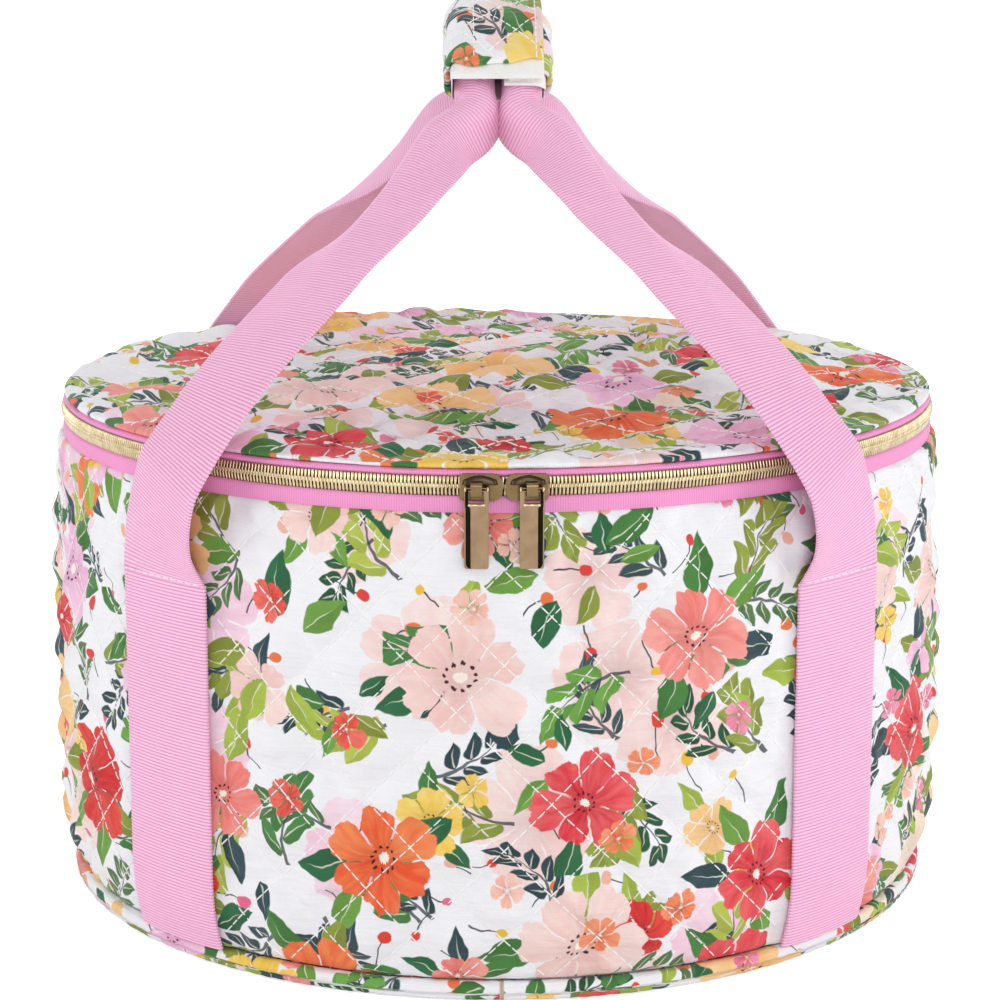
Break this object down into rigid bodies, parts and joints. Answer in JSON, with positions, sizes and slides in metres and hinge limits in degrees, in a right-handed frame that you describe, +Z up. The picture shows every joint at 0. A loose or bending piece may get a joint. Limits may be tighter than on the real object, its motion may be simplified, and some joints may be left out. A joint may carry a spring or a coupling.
{
  "type": "casserole carrier",
  "caption": "Round quilted insulated casserole carrier with a zip-round lid hinged at the back, paired zip sliders and webbing handles joined by a hook-and-loop wrap grip.",
  "frame": {"origin": "middle of the base on the floor", "axes": "+Z up, -Y to the front where the two sliders meet, +X to the right seen from the front"},
  "size_m": [0.321, 0.3242, 0.3148],
  "materials": {
    "print": "quilted cotton with a printed floral pattern on white",
    "foam": "wadding and thin insulating foam",
    "lining": "smooth white wipe-clean lining",
    "board": "stiffening board",
    "tape": "pink woven zip tape",
    "webbing": "pink ribbed webbing",
    "gold": "pale gold plated metal",
    "hook_and_loop": "white hook-and-loop tape"
  },
  "bodies": {
    "carrier_body": {"side_panel": "print", "side_insulation": "foam", "side_lining": "lining", "mouth_binding": "lining", "base_panel": "print", "base_insulation": "foam", "base_board": "board", "base_lining": "lining", "base_binding": "print", "lower_zipper_tape": "tape", "lower_zipper_teeth": "gold", "left_zipper_stop": "gold", "right_zipper_stop": "gold", "hinge_strip": "print", "front_left_strap_leg": "webbing", "front_right_strap_leg": "webbing", "back_left_strap_leg": "webbing", "back_right_strap_leg": "webbing"},
    "lid": {"lid_panel": "print", "lid_insulation": "foam", "lid_lining": "lining", "lid_binding": "lining", "upper_zipper_tape": "tape", "upper_zipper_teeth": "gold"},
    "left_handle": {"left_handle_strap": "webbing", "grip_pad": "print", "grip_lining": "lining", "loop_patch": "hook_and_loop"},
    "right_handle": {"right_handle_strap": "webbing"},
    "grip_flap_body": {"grip_flap": "print", "hook_patch": "hook_and_loop"},
    "left_slider_body": {"left_slider": "gold"},
    "right_slider_body": {"right_slider": "gold"},
    "left_pull_body": {"left_pull": "gold"},
    "right_pull_body": {"right_pull": "gold"}
  },
  "joints": [
    {"name": "lid_hinge", "type": "hinge", "parent": "carrier_body", "child": "lid", "pos_m": [0, 0.156, 0.17135], "axis": [-1, 0, 0], "range_deg": [0, 110], "deforming": ["hinge_strip", "left_handle_strap", "grip_pad", "grip_lining", "loop_patch", "right_handle_strap", "grip_flap", "hook_patch"]},
    {"name": "left_handle_fold", "type": "hinge", "parent": "carrier_body", "child": "left_handle", "pos_m": [-0.11131, 0, 0.1333], "axis": [0, -1, 0], "range_deg": [0, 140], "deforming": ["left_handle_strap", "grip_pad", "grip_lining", "loop_patch"]},
    {"name": "right_handle_fold", "type": "hinge", "parent": "carrier_body", "child": "right_handle", "pos_m": [0.11131, 0, 0.1333], "axis": [0, 1, 0], "range_deg": [0, 140], "deforming": ["right_handle_strap"]},
    {"name": "grip_flap_hinge", "type": "hinge", "parent": "left_handle", "child": "grip_flap_body", "pos_m": [-0.0175, 0, 0.291], "axis": [0, -1, 0], "range_deg": [0, 90], "deforming": ["grip_flap", "hook_patch"]},
    {"name": "left_slider_travel", "type": "hinge", "parent": "carrier_body", "child": "left_slider_body", "pos_m": [0, 0, 0.17135], "axis": [0, 0, -1], "range_deg": [0, 147]},
    {"name": "right_slider_travel", "type": "hinge", "parent": "carrier_body", "child": "right_slider_body", "pos_m": [0, 0, 0.17135], "axis": [0, 0, 1], "range_deg": [0, 147]},
    {"name": "left_pull_flip", "type": "hinge", "parent": "left_slider_body", "child": "left_pull_body", "pos_m": [-0.0086, -0.16133, 0.17135], "axis": [-0.999, 0.0452, 0], "range_deg": [0, 150]},
    {"name": "right_pull_flip", "type": "hinge", "parent": "right_slider_body", "child": "right_pull_body", "pos_m": [0.0086, -0.16133, 0.17135], "axis": [-0.999, -0.0452, 0], "range_deg": [0, 150]}
  ]
}
